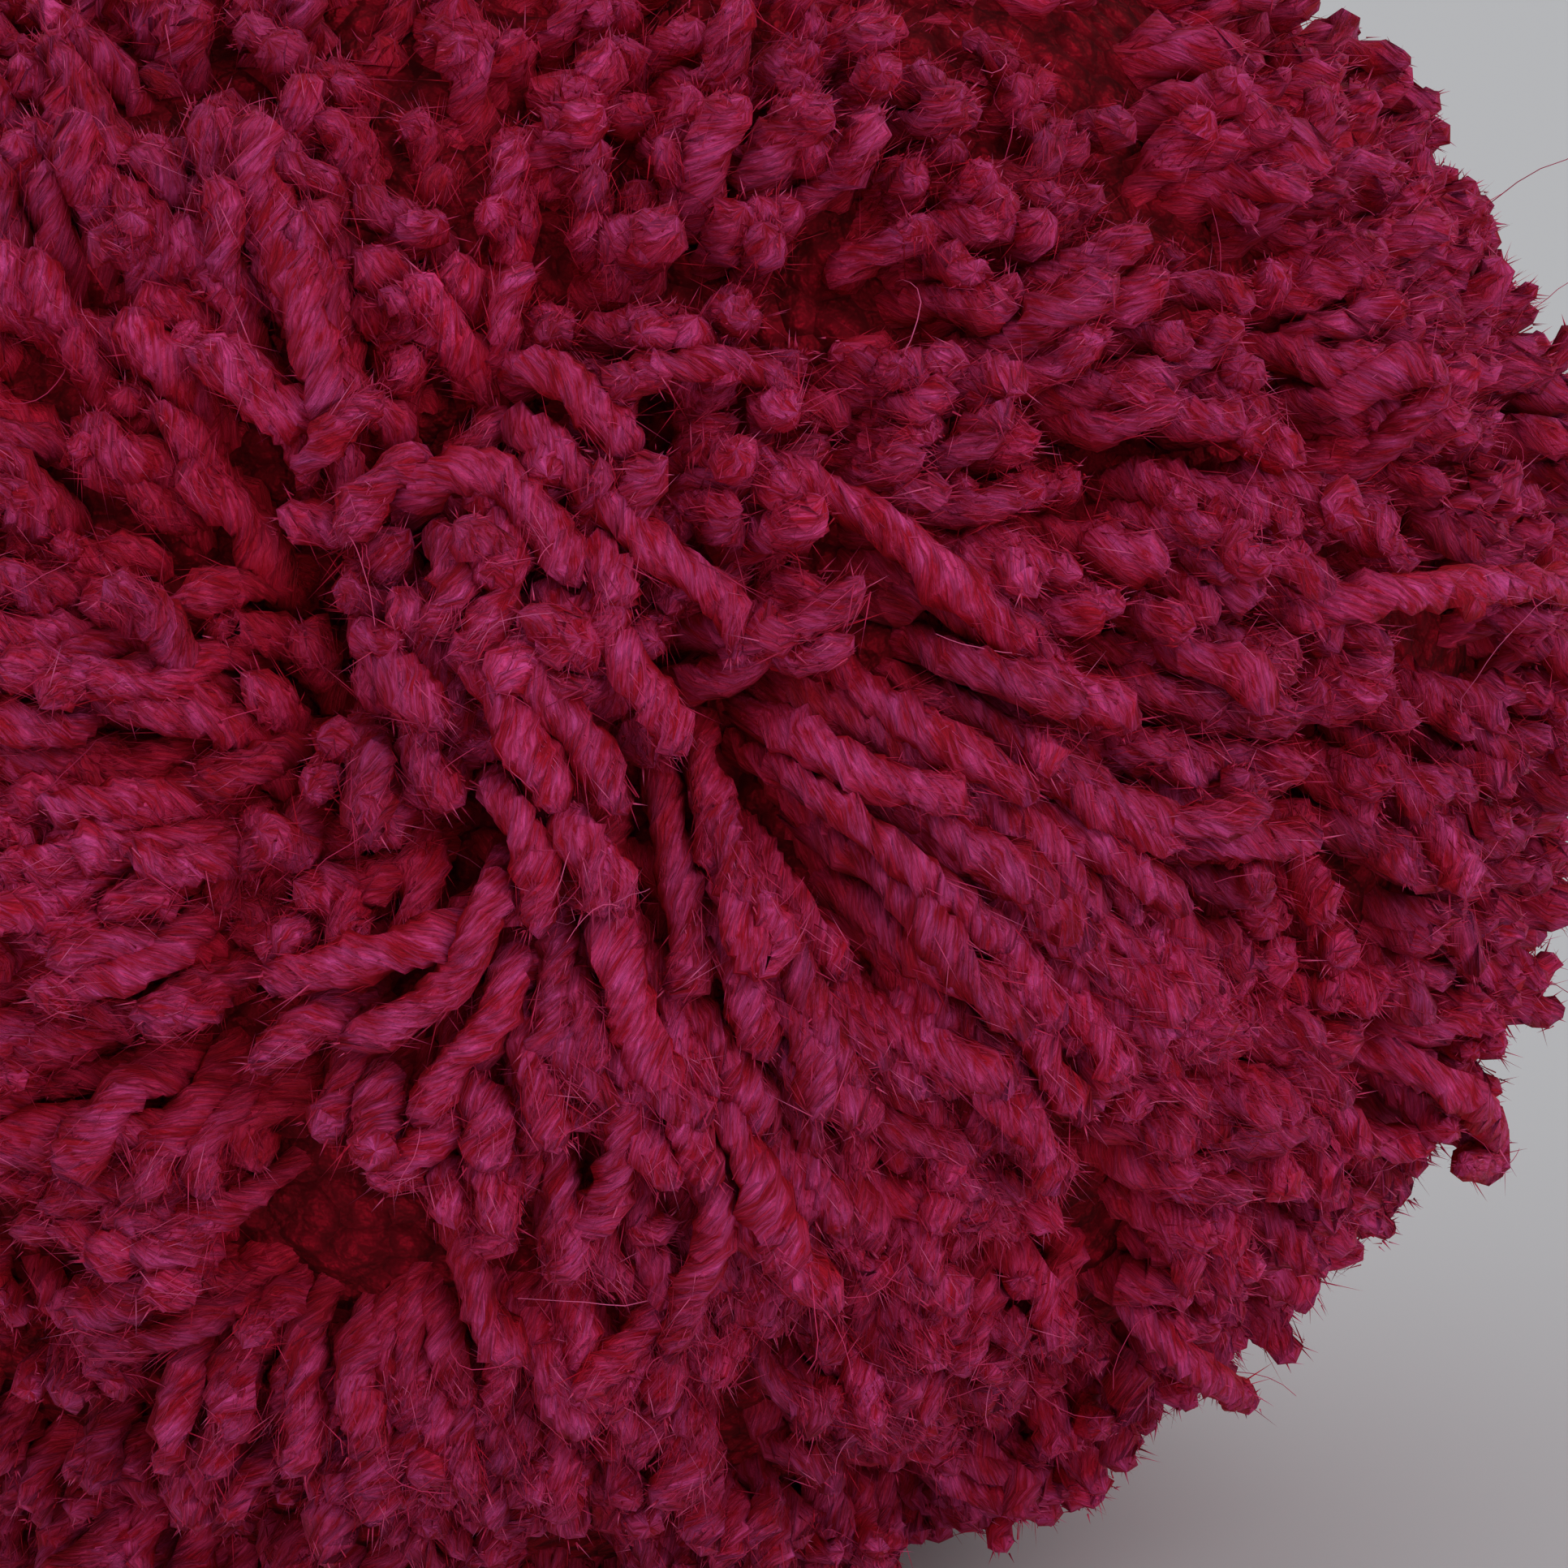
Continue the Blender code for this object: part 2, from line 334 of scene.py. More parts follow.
def plan_strands(rng):
    """Where each strand grows from, where its tip ends, how long it is and how bright its yarn is."""
    roots = even_directions(STRAND_COUNT, STRAND_JITTER, rng)
    towards = unit(CAMERA_PLACE - CENTRE)
    shorter = [np.ones(STRAND_COUNT)]
    for fill in FILLS:
        stray = rng.normal(size=(fill["count"], 3)) * fill["spread"]
        roots = np.concatenate([roots, unit(fill["middle"] + stray)])
        shorter.append(np.full(fill["count"], fill["length"]))
    clumps = even_directions(CLUMP_COUNT, 0.5, rng)
    clump_of = np.argmax(roots @ clumps.T, axis=1)
    count = len(roots)
    whorl = np.exp(-((np.arccos(np.clip(dot(roots, towards), -1, 1)) / WHORL_REACH) ** 4))

    clump_turn = rng.normal(size=CLUMP_COUNT) * STRAY["turn"]["clump"]
    clump_push = 1 + rng.normal(size=CLUMP_COUNT) * STRAY["push"]["clump"]
    loose_turn = clump_turn[clump_of] + rng.normal(size=count) * STRAY["turn"]["strand"]
    loose_turn += whorl * rng.normal(size=count) * WHORL_TURN
    loose_push = clump_push[clump_of] * (1 + rng.normal(size=count) * STRAY["push"]["strand"])
    loose_push = np.clip(loose_push + whorl * rng.uniform(*WHORL_PUSH, count), 0, 2)

    push = combed_from_front(roots, loose_turn, loose_push) + combed_from_back(roots)
    clump_push_at = combed_from_front(clumps, clump_turn, clump_push) + combed_from_back(clumps)
    clump_tips = pushed(clumps, clump_push_at)
    clump_tilt = rng.normal(size=(CLUMP_COUNT, 3)) * STRAY["tip"]["clump"]
    tips = pushed(roots, push) + rng.normal(size=(count, 3)) * STRAY["tip"]["strand"]
    pull = CLUMP_PULL * (1 - whorl)[:, None]
    tips = unit(tips + (clump_tips[clump_of] - tips) * pull + clump_tilt[clump_of])

    clump_length = rng.normal(size=CLUMP_COUNT) * STRAY["length"]["clump"]
    length = MEAN_LENGTH + clump_length[clump_of]
    length = length + rng.normal(size=count) * STRAY["length"]["strand"]
    length *= np.concatenate(shorter) * outline_length(tips)
    length = np.clip(length, SHORTEST, LONGEST)
    bright = 1 + rng.normal(size=count) * STRAY["bright"]["strand"]
    bright = bright + (rng.normal(size=CLUMP_COUNT) * STRAY["bright"]["clump"])[clump_of]
    bright = np.clip(bright, DULLEST, BRIGHTEST)
    return {"root": roots, "tip": tips, "length": length, "bright": bright}


def strand_paths(strands, detail, rng):
    """The middle line of every strand, ring by ring, from its buried start to its cut tip."""
    buried = np.linspace(0, 0.5, detail["buried"] + 1)[:-1]
    along = np.concatenate([buried, np.linspace(0.5, 1, detail["shown"] + 1)])
    count = len(strands["root"])
    root, tip = strands["root"][:, None], strands["tip"][:, None]
    lean = np.arccos(np.clip(dot(strands["root"], strands["tip"]), -1, 1))[:, None, None]
    t = along[None, :, None]
    bend = t**1.5
    direction = root * np.sin((1 - bend) * lean) + tip * np.sin(bend * lean)
    direction = unit(direction / np.maximum(np.sin(lean), 1e-6))
    rounding = 1 + np.minimum(lean / FULL_PUSH, 1.3)
    start, end = detail["start"], strands["length"][:, None, None]
    reach = start + (end - start) * (1 - (1 - t) ** rounding)
    radius = ball_radius(direction)[..., None] * reach
    path = CENTRE + direction * radius

    right, up = tangents_at(direction)
    for across in (right, up):
        for sway in SWAYS:
            phase = rng.uniform(0, 2 * math.pi, (count, 1, 1))
            swing = rng.normal(size=(count, 1, 1)) * SWAY * sway["share"]
            path = path + across * swing * np.sin(2 * math.pi * sway["waves"] * t + phase) * t
    return keep_above_floor(path)


def smooth_path(knots, rings):
    """A curve through the knots, with its points spread evenly from knot to knot."""
    slopes = np.gradient(knots, axis=0)
    at = np.linspace(0, len(knots) - 1, rings)
    low = np.minimum(at.astype(int), len(knots) - 2)
    t = (at - low)[:, None]
    start = knots[low] * (1 + 2 * t) * (1 - t) ** 2 + slopes[low] * t * (1 - t) ** 2
    return start + knots[low + 1] * t**2 * (3 - 2 * t) + slopes[low + 1] * t**2 * (t - 1)


def seen_on_ball(right, up, rise):
    """Where the camera's line through a place in the image meets the ball of tips, raised by rise."""
    line = unit(CENTRE + RIGHT * right + UP * up - CAMERA_PLACE)
    sizes = HALF_SIZES + rise
    start, run = (CAMERA_PLACE - CENTRE) / sizes, line / sizes
    a, b, c = dot(run, run), dot(start, run), dot(start, start) - 1
    return CAMERA_PLACE + line * (-b - math.sqrt(max(b * b - a * c, 0))) / a


def placed_paths():
    """The middle lines of the strands that stand out in the photograph."""
    paths = []
    for strand in PLACED:
        knots = []
        for right, up in zip(strand["right"], strand["up"]):
            knots.append(seen_on_ball(right / 1000, up / 1000, strand["rise"] / 1000))
        knots = np.array(knots)
        deeper = knots[0] - (knots[1] - knots[0]) * 0.5
        inward = unit(CENTRE - deeper)
        knots = np.concatenate([[deeper + inward * PLACED_SUNK * 2], knots])
        knots[1] += inward * PLACED_SUNK * 0.35
        paths.append(smooth_path(knots, PLACED_RINGS))
    return np.array(paths)


def keep_above_floor(path):
    """Strands that would reach the floor end level on it: their lower part is drawn up the line."""
    below = CENTRE[2] - path[..., 2]
    room = CENTRE[2] - LOWEST_MIDDLE
    share = np.where(below > room, room / np.maximum(below, 1e-9), 1.0)[..., None]
    return CENTRE + (path - CENTRE) * share


def frames_along(path):
    """The tangent and two vectors across it at every ring, carried along without twisting."""
    tangent = unit(np.gradient(path, axis=1))
    start = np.cross(tangent[:, 0], np.array([0.31, 0.52, 0.79]))
    across = [unit(start)]
    for ring in range(1, path.shape[1]):
        last = across[-1]
        along = tangent[:, ring]
        across.append(unit(last - along * dot(last, along)[:, None]))
    normal = np.stack(across, axis=1)
    return tangent, normal, np.cross(tangent, normal)


def ply_columns(columns):
    """The angles of a tube's columns. Of 6 or 8, two lie in the grooves between the plies."""
    degrees = {
        8: [0, 42, 90, 138, 180, 222, 270, 318],
        6: [38, 90, 142, 218, 270, 322],
        5: [0, 72, 144, 216, 288],
    }
    return np.radians(degrees[columns])


def ply_radius(angles):
    """The outline of two round plies side by side, from the middle between them."""
    return PLY_OFFSET * np.abs(np.cos(angles)) + np.sqrt(
        PLY_RADIUS**2 - (PLY_OFFSET * np.sin(angles)) ** 2
    )


def twist_along(path, rng):
    """The plies' turn at every ring."""
    step = np.linalg.norm(np.diff(path, axis=1), axis=2)
    pitch = TWIST_PITCH * (1 + rng.uniform(-PITCH_SPREAD, PITCH_SPREAD, (len(path), 1)))
    turn = np.minimum(step / pitch * 2 * math.pi, MOST_TURN)
    turn *= rng.uniform(0.7, 1.3, turn.shape)
    start = rng.uniform(0, 2 * math.pi, (len(path), 1))
    return np.concatenate([start, start + np.cumsum(turn, axis=1)], axis=1)


def arc_lengths(path):
    step = np.linalg.norm(np.diff(path, axis=1), axis=2)
    return np.concatenate([np.zeros((len(path), 1)), np.cumsum(step, axis=1)], axis=1)


def grid_cells(count):
    """The cell of every tube in a square grid on the bake map: its corner and its size."""
    columns = math.ceil(math.sqrt(count * 0.5))
    rows = math.ceil(count / columns)
    index = np.arange(count)
    corner = np.stack([(index % columns) / columns, (index // columns) / rows], axis=1)
    return corner, np.array([1 / columns, 1 / rows])


TUBE_END = 0.96


def tubes(path, outline, end_scale, end_push):
    """Closed tubes: their points, faces, maps from 0 to 1 and lengths, as arrays.

    outline holds each ring's points beside the path. The tip is one point past the last ring, at
    TUBE_END of the map's width.
    """
    count, rings, columns = outline.shape[:3]
    tangent = unit(path[:, -1] - path[:, -2])
    tip = path[:, -1] + tangent * end_push
    scaled = outline * np.asarray(end_scale)[None, :, None, None]
    points = (path[:, :, None] + scaled).reshape(count, rings * columns, 3)
    points = np.concatenate([points, tip[:, None]], axis=1)

    base = (np.arange(count) * (rings * columns + 1))[:, None, None]
    ring = np.arange(rings - 1)[None, :, None] * columns
    column = np.arange(columns)[None, None]
    following = (column + 1) % columns
    quads = np.stack(
        [base + ring + column, base + ring + following]
        + [base + ring + columns + following, base + ring + columns + column],
        axis=-1,
    )
    last = (rings - 1) * columns
    flat_base = base[:, 0]
    tip_faces = np.stack(
        [flat_base + last + column[0], flat_base + last + following[0]]
        + [np.broadcast_to(flat_base + rings * columns, (count, columns))],
        axis=-1,
    )
    start_faces = flat_base + np.arange(columns)[::-1][None]

    length = arc_lengths(path)
    along = length / (length[:, -1:] + 1e-9) * TUBE_END
    around = np.arange(columns + 1) / columns
    lower, upper = along[:, :-1, None], along[:, 1:, None]
    left, right = around[None, None, :-1], around[None, None, 1:]
    shape = (count, rings - 1, columns)
    quad_map = np.stack(
        [
            np.stack([np.broadcast_to(lower, shape), np.broadcast_to(left, shape)], axis=-1),
            np.stack([np.broadcast_to(lower, shape), np.broadcast_to(right, shape)], axis=-1),
            np.stack([np.broadcast_to(upper, shape), np.broadcast_to(right, shape)], axis=-1),
            np.stack([np.broadcast_to(upper, shape), np.broadcast_to(left, shape)], axis=-1),
        ],
        axis=-2,
    )
    tip_corners = np.array(
        [
            [TUBE_END, low, TUBE_END, high, 1.0, (low + high) / 2]
            for low, high in zip(around[:-1], around[1:])
        ]
    )
    tip_map = np.broadcast_to(tip_corners.reshape(1, columns, 3, 2), (count, columns, 3, 2))
    turn = 2 * math.pi * np.arange(columns)[::-1] / columns
    start_corners = np.stack([0.012 + 0.01 * np.cos(turn), 0.5 + 0.05 * np.sin(turn)], axis=-1)
    start_map = np.broadcast_to(start_corners[None], (count, columns, 2))
    faces = [quads.reshape(-1, 4), tip_faces.reshape(-1, 3), start_faces.reshape(-1, columns)]
    return points, faces, (quad_map, tip_map, start_map), length[:, -1]


def cell_maps(maps, count):
    """The 0 to 1 maps of every tube, drawn into its own cell of the bake map."""
    corner, size = grid_cells(count)
    margin = 0.04
    values = []
    for one in maps:
        shape = (count,) + (1,) * (one.ndim - 2) + (2,)
        inside = margin + one * (1 - 2 * margin)
        values.append((corner.reshape(shape) + inside * size).reshape(-1, 2))
    return np.concatenate(values)


def real_size_maps(maps, lengths, around, shift):
    """The same maps in millimetres, each tube somewhere else in the yarn's own pattern."""
    values = []
    for one in maps:
        shape = (len(lengths),) + (1,) * (one.ndim - 2)
        u = one[..., 0] * (lengths * 1000).reshape(shape) + shift[:, 0].reshape(shape)
        v = one[..., 1] * around * 1000 + shift[:, 1].reshape(shape)
        values.append(np.stack([u, v], axis=-1).reshape(-1, 2))
    return np.concatenate(values)


def mesh_piece(name, points, faces, maps, tone_and_painted_light, material):
    """A mesh object from arrays: its faces are given in groups that have the same corner count."""
    mesh = bpy.data.meshes.new(name)
    points = points.reshape(-1, 3)
    mesh.vertices.add(len(points))
    mesh.vertices.foreach_set("co", points.astype(np.float32).ravel())
    corners = np.concatenate([group.ravel() for group in faces])
    sizes = np.concatenate([np.full(len(group), group.shape[1]) for group in faces])
    mesh.loops.add(len(corners))
    mesh.loops.foreach_set("vertex_index", corners.astype(np.int32))
    mesh.polygons.add(len(sizes))
    starts = np.concatenate([[0], np.cumsum(sizes)[:-1]])
    mesh.polygons.foreach_set("loop_start", starts.astype(np.int32))
    mesh.update(calc_edges=True)
    mesh.polygons.foreach_set("use_smooth", np.ones(len(sizes), dtype=bool))
    for map_name, values in maps.items():
        layer = mesh.uv_layers.new(name=map_name)
        layer.data.foreach_set("uv", values.astype(np.float32).ravel())
    attribute = mesh.attributes.new("tone_and_painted_light", "FLOAT_COLOR", "POINT")
    colours = np.ones((len(points), 4), dtype=np.float32)
    colours[:, :3] = tone_and_painted_light.reshape(-1, 3)
    attribute.data.foreach_set("color", colours.ravel())
    mesh.materials.append(material)
    piece = bpy.data.objects.new(name, mesh)
    bpy.context.scene.collection.objects.link(piece)
    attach(piece, "root")
    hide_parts("yarn_pompom")
    triangles = int((sizes - 2).sum())
    print(name, triangles, "triangles")
    return triangles


def yarn_outline(path, detail, rng):
    """Ring points beside the path for two plies that turn round each other."""
    tangent, normal, side = frames_along(path)
    turn = twist_along(path, rng)
    angles = ply_columns(detail["columns"])
    facing = turn[:, :, None] + angles[None, None]
    count, rings = path.shape[:2]
    knots = rng.normal(size=(count, YARN_KNOTS)).clip(-MOST_SWELL, MOST_SWELL)
    spots = np.linspace(0, YARN_KNOTS - 1, rings)
    low = np.floor(spots).astype(int).clip(0, YARN_KNOTS - 2)
    part = spots - low
    uneven = 1 + YARN_SWELL * (knots[:, low] * (1 - part) + knots[:, low + 1] * part)
    uneven *= rng.uniform(THINNEST, THICKEST, (count, 1)) * detail["fuller"]
    radius = ply_radius(angles)[None, None] * uneven[..., None]
    radius = radius * (1 + rng.normal(size=facing.shape) * detail["uneven"])
    outline = normal[:, :, None] * (np.cos(facing) * radius)[..., None]
    outline = outline + side[:, :, None] * (np.sin(facing) * radius)[..., None]
    return outline


def dimple(directions):
    """The share of the ball's radius that the strands reach, lower where they part."""
    angle = np.arccos(np.clip(dot(directions, unit(CAMERA_PLACE - CENTRE)), -1, 1))
    return 1 - DIMPLE_DEPTH * np.exp(-((angle / DIMPLE_REACH) ** 2))


def depth_below(places):
    """How deep each place lies below the surface that the strands make."""
    distance = np.linalg.norm(places - CENTRE, axis=-1)
    outward = (places - CENTRE) / distance[..., None]
    reach = ball_radius(outward) * dimple(outward) * outline_length(outward)
    return reach - distance, outward


def yarn_tone_and_painted_light(strands, path, outline):
    """At every point: its own brightness; how near the ball's surface, for painted shade deeper down; and
    how far the side faces out, for painted light.
    """
    count, rings, columns = outline.shape[:3]
    depth, outward = depth_below(path)
    # near fades the yarn from painted light to painted shade below the strands' surface.
    near = np.exp(-((np.maximum(depth - LEVEL_DEPTH, 0) / LIT_DEPTH) ** 2))
    tone_and_painted_light = np.empty((count, rings, columns, 3))
    tone_and_painted_light[..., 0] = strands["bright"][:, None, None]
    tone_and_painted_light[..., 1] = near[..., None]
    upright = np.clip(dot(unit(np.gradient(path, axis=1)), outward), 0, 1)
    # Painted light on the sides of the strands that face out from the ball, on strands that point straight
    # out and on the cut ends.
    tone_and_painted_light[..., 2] = 0.5 + 0.5 * dot(unit(outline), outward[:, :, None])
    tone_and_painted_light[..., 2] += UPRIGHT_LIT * upright[..., None] ** 2
    tone_and_painted_light[:, -1, :, 2] = LAST_RING_LIT
    tone_and_painted_light = tone_and_painted_light.reshape(count, rings * columns, 3)
    tip = np.stack([strands["bright"], near[:, -1], np.ones(count)], axis=1)
    return np.concatenate([tone_and_painted_light, tip[:, None]], axis=1)


def choose(strands, chosen):
    return {key: values[chosen] for key, values in strands.items()}


def build_yarn(name, strands, path, detail, material, rng):
    """One piece of strands, and the places on them where nap can grow."""
    outline = yarn_outline(path, detail, rng)
    rings = path.shape[1]
    end_scale = np.ones(rings)
    end_scale[-1] = detail["blunt"]
    end_scale[-2] = LAST_RING_BUT_ONE
    points, faces, maps, lengths = tubes(path, outline, end_scale, TIP_PUSH)
    points[..., 2] = np.maximum(points[..., 2], 0)
    shift = rng.uniform(0, 400, (len(path), 2))
    maps = {
        "OFBake": cell_maps(maps, len(path)),
        "Yarn": real_size_maps(maps, lengths, YARN_AROUND, shift),
    }
    tone_and_painted_light = yarn_tone_and_painted_light(strands, path, outline)
    made = mesh_piece(name, points, faces, maps, tone_and_painted_light, material)
    return made, {"path": path, "outline": outline}


def nap_on(grown, each, shown_from, rng):
    """Where short fibres grow on the strands: place, direction along the yarn, outward, and painted light.
    """
    path, outline = grown["path"], grown["outline"]
    count, rings, columns = outline.shape[:3]
    wanted = int(count * each)
    total = wanted * NAP_TRIES
    strand = rng.integers(0, count, total)
    at = rng.uniform(shown_from, 1, total) ** 0.8 * (rings - 1)
    low = np.minimum(at.astype(int), rings - 2)
    part = (at - low)[:, None]
    column = rng.integers(0, columns, total)
    following = (column + 1) % columns
    blend = rng.uniform(0, 1, total)[:, None]
    middle = path[strand, low] * (1 - part) + path[strand, low + 1] * part
    first = outline[strand, low, column] * (1 - part) + outline[strand, low + 1, column] * part
    second = outline[strand, low, following] * (1 - part)
    second = second + outline[strand, low + 1, following] * part
    beside = first * (1 - blend) + second * blend
    along = unit(path[strand, low + 1] - path[strand, low])
    along *= np.where(at > NAP_TURNS_BACK * (rings - 1), -1, 1)[:, None]
    place = middle + beside * NAP_ROOT
    depth, outward = depth_below(place)
    facing = dot(unit(beside), outward)
    kept = np.flatnonzero((depth < NAP_DEPTH) & (facing > NAP_FACING))[:wanted]
    # Painted light on fibres that face out from the ball, fading to painted shade deeper down.
    lit = np.clip(facing * NAP_LIT, 0, 1) * np.exp(-((np.maximum(depth, 0) / LIT_DEPTH) ** 2))
    growth = {"place": place, "along": along, "out": unit(beside), "lit": lit}
    return choose(growth, kept)


def nap_on_tips(grown, each, rng):
    """Fibres of the cut ends, which spread like a brush."""
    path, outline = grown["path"], grown["outline"]
    count = len(path)
    strand = np.repeat(np.arange(count), each)
    along = unit(path[strand, -1] - path[strand, -2])
    angle = rng.integers(0, outline.shape[2], len(strand))
    beside = outline[strand, -2, angle]
    share = rng.uniform(0.1, 0.95, (len(strand), 1))
    place = path[strand, -1] + beside * share
    lit = np.full(len(place), TIP_NAP["lit"])
    return {"place": place, "along": along, "out": unit(beside), "lit": lit}


def spikes(growth, kind, share, rng):
    """Closed three-sided spikes that grow from the yarn, each as its base's corners and its tip."""
    count = len(growth["place"])
    direction = unit(
        growth["along"] * kind["forward"] * rng.uniform(0.3, 1.4, (count, 1))
        + growth["out"] * kind["outward"] * rng.uniform(0.2, 1.6, (count, 1))
        + rng.normal(size=(count, 3)) * kind["stray"]
    )
    length = rng.gamma(5.0, 0.2, (count, 1)).clip(*NAP_LENGTHS)
    length = kind["length"] * share * length
    base = kind["base"] * rng.uniform(0.6, 1.3, (count, 1))
    side = unit(np.cross(direction, rng.normal(size=(count, 3))))
    other = np.cross(direction, side)
    corners = []
    for third in range(3):
        angle = 2 * math.pi * third / 3
        corners.append(growth["place"] + (side * math.cos(angle) + other * math.sin(angle)) * base)
    tip = growth["place"] + direction * length
    return {"points": np.stack(corners + [tip], axis=1), "lit": growth["lit"]}


SPIKE_FACES = np.array([[0, 1, 3], [1, 2, 3], [2, 0, 3], [2, 1, 0]])
SPIKE_MAP = np.array([[0.05, 0.1], [0.05, 0.5], [0.05, 0.9], [0.95, 0.5]])


def build_nap(name, points, lit, material, rng):
    count = len(points)
    points = points.copy()
    points[..., 2] = np.maximum(points[..., 2], 0)
    faces = (np.arange(count) * 4)[:, None, None] + SPIKE_FACES[None]
    corner, size = grid_cells(count)
    values = corner[:, None, None] + SPIKE_MAP[SPIKE_FACES][None] * size
    tone_and_painted_light = np.empty((count, 4, 3))
    tone_and_painted_light[...] = rng.uniform(0.65, 1.35, (count, 1, 1))
    # Painted light: how lit the fibre's place is, and lighter at its tip than at its base.
    tone_and_painted_light[:, :, 1] = lit[:, None]
    tone_and_painted_light[:, 3, 2] = 1
    tone_and_painted_light[:, :3, 2] = 0.4
    maps = {"OFBake": values.reshape(-1, 2)}
    return mesh_piece(name, points, [faces.reshape(-1, 3)], maps, tone_and_painted_light, material)


def flyaways(grown, count, rng):
    """A few long curled hairs that leave the yarn."""
    growth = nap_on(grown, count / len(grown["path"]), 0.8, rng)
    count = len(growth["place"])
    outward = unit(growth["place"] - CENTRE)
    heading = unit(outward * 0.7 + growth["along"] * 0.6 + rng.normal(size=(count, 3)) * 0.75)
    length = rng.gamma(3.0, 0.0011, count).clip(*HAIR_LENGTHS)
    axis = unit(rng.normal(size=(count, 3)))
    curl = (rng.normal(size=count) * HAIR_CURL)[:, None]
    place = growth["place"] - outward * 0.0003
    path = [place]
    for _ in range(HAIR_RINGS - 1):
        stray = rng.normal(size=(count, 3)) * 0.10
        heading = unit(heading + np.cross(axis, heading) * curl + stray)
        place = place + heading * (length / (HAIR_RINGS - 1))[:, None]
        path.append(place)
    path = np.stack(path, axis=1)
    tangent, normal, side = frames_along(path)
    angles = 2 * math.pi * np.arange(3) / 3
    outline = normal[:, :, None] * np.cos(angles)[None, None, :, None] * HAIR_RADIUS
    outline = outline + side[:, :, None] * np.sin(angles)[None, None, :, None] * HAIR_RADIUS
    return path, outline


def build_flyaways(name, path, outline, material, rng):
    scale = np.linspace(1, 0.6, path.shape[1])
    points, faces, maps, lengths = tubes(path, outline, scale, 0.0001)
    points[..., 2] = np.maximum(points[..., 2], 0)
    count = len(path)
    tone_and_painted_light = np.empty((count, points.shape[1], 3))
    tone_and_painted_light[...] = rng.uniform(0.8, 1.3, (count, 1, 1))
    # Painted light: the long hairs are painted as partly lit along their whole length.
    tone_and_painted_light[:, :, 1] = 1
    tone_and_painted_light[:, :, 2] = 0.6
    return mesh_piece(name, points, faces, {"OFBake": cell_maps(maps, count)}, tone_and_painted_light, material)


def build_inner(material):
    """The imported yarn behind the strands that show, as one lumpy closed form."""
    bm = bmesh.new()
    bmesh.ops.create_icosphere(bm, subdivisions=INNER_DETAIL, radius=1)
    directions = unit(np.array([vert.co[:] for vert in bm.verts]))
    rng = np.random.default_rng(5)
    bumps = np.zeros(len(directions))
    for bump in INNER_BUMPS:
        for _ in range(6):
            wave = unit(rng.normal(size=3)) * bump["wave"]
            bumps += np.sin(directions @ wave + rng.uniform(0, 6.28)) * bump["height"] / 2
    reach = INNER_REACH - INNER_DIMPLE * (1 - dimple(directions)) + bumps
    reach = reach * outline_length(directions)
    points = CENTRE + directions * (ball_radius(directions) * reach)[:, None]
    points[:, 2] = np.maximum(points[:, 2], INNER_LOWEST)
    for vert, place in zip(bm.verts, points):
        vert.co = place
    mesh = bpy.data.meshes.new("inner_yarn")
    bm.to_mesh(mesh)
    bm.free()
    mesh.shade_smooth()
    mesh.materials.append(material)
    piece = bpy.data.objects.new("inner_yarn", mesh)
    bpy.context.scene.collection.objects.link(piece)
    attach(piece, "root")
    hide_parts("yarn_pompom")
    return len(mesh.polygons)


class Nodes:
    """Makes and joins the nodes of one material."""

    def __init__(self, name):
        self.material = bpy.data.materials.new(name)
        self.material.use_nodes = True
        self.tree = self.material.node_tree
        self.shader = self.tree.nodes["Principled BSDF"]

    def add(self, kind, settings=(), **inputs):
        node = self.tree.nodes.new(kind)
        for key, value in dict(settings).items():
            setattr(node, key, value)
        for key, value in inputs.items():
            self.put(node.inputs[key.replace("_", " ")], value)
        return node

    def put(self, socket, value):
        if isinstance(value, bpy.types.NodeSocket):
            self.tree.links.new(value, socket)
        else:
            socket.default_value = value

    def math(self, operation, a, b=0.0, c=0.0):
        node = self.tree.nodes.new("ShaderNodeMath")
        node.operation = operation
        for socket, value in zip(node.inputs, (a, b, c)):
            self.put(socket, value)
        return node.outputs[0]

    def ramp(self, value, low, high):
        """0 to 1 as value goes from low to high."""
        node = self.tree.nodes.new("ShaderNodeMapRange")
        for socket, given in zip(node.inputs, (value, low, high)):
            self.put(socket, given)
        return node.outputs[0]

    def mix(self, factor, a, b, kind="MIX"):
        node = self.tree.nodes.new("ShaderNodeMix")
        node.data_type = "RGBA"
        node.blend_type = kind
        self.put(node.inputs["Factor"], factor)
        self.put(node.inputs[6], a)
        self.put(node.inputs[7], b)
        return node.outputs[2]


# The colours of the yarn, of the loose fibres and of the imported yarn inside, each from its deepest or
# dullest to its lightest. They are painted light and shade: the first of each is painted where shade
# falls, on flanks, deep down and in gaps, the lit ones where the yarn faces out near the surface, and
# the palest fibre colour is a painted glint. The yarn's shaded red is a little lighter than its body red,
# which lifts the rendered shade there.
SHADED_RED = (0.68, 0.0080, 0.0310, 1)
BODY = (0.60, 0.0062, 0.032, 1)
LIT = (0.79, 0.0760, 0.315, 1)
SHADED_FIBRE = (0.52, 0.0074, 0.033, 1)
LIT_FIBRE = (0.80, 0.062, 0.230, 1)
PAINTED_GLINT = (0.92, 0.170, 0.400, 1)
PAINTED_GAP_SHADE = (0.20, 0.0030, 0.010, 1)
PACKED = (0.46, 0.0064, 0.024, 1)


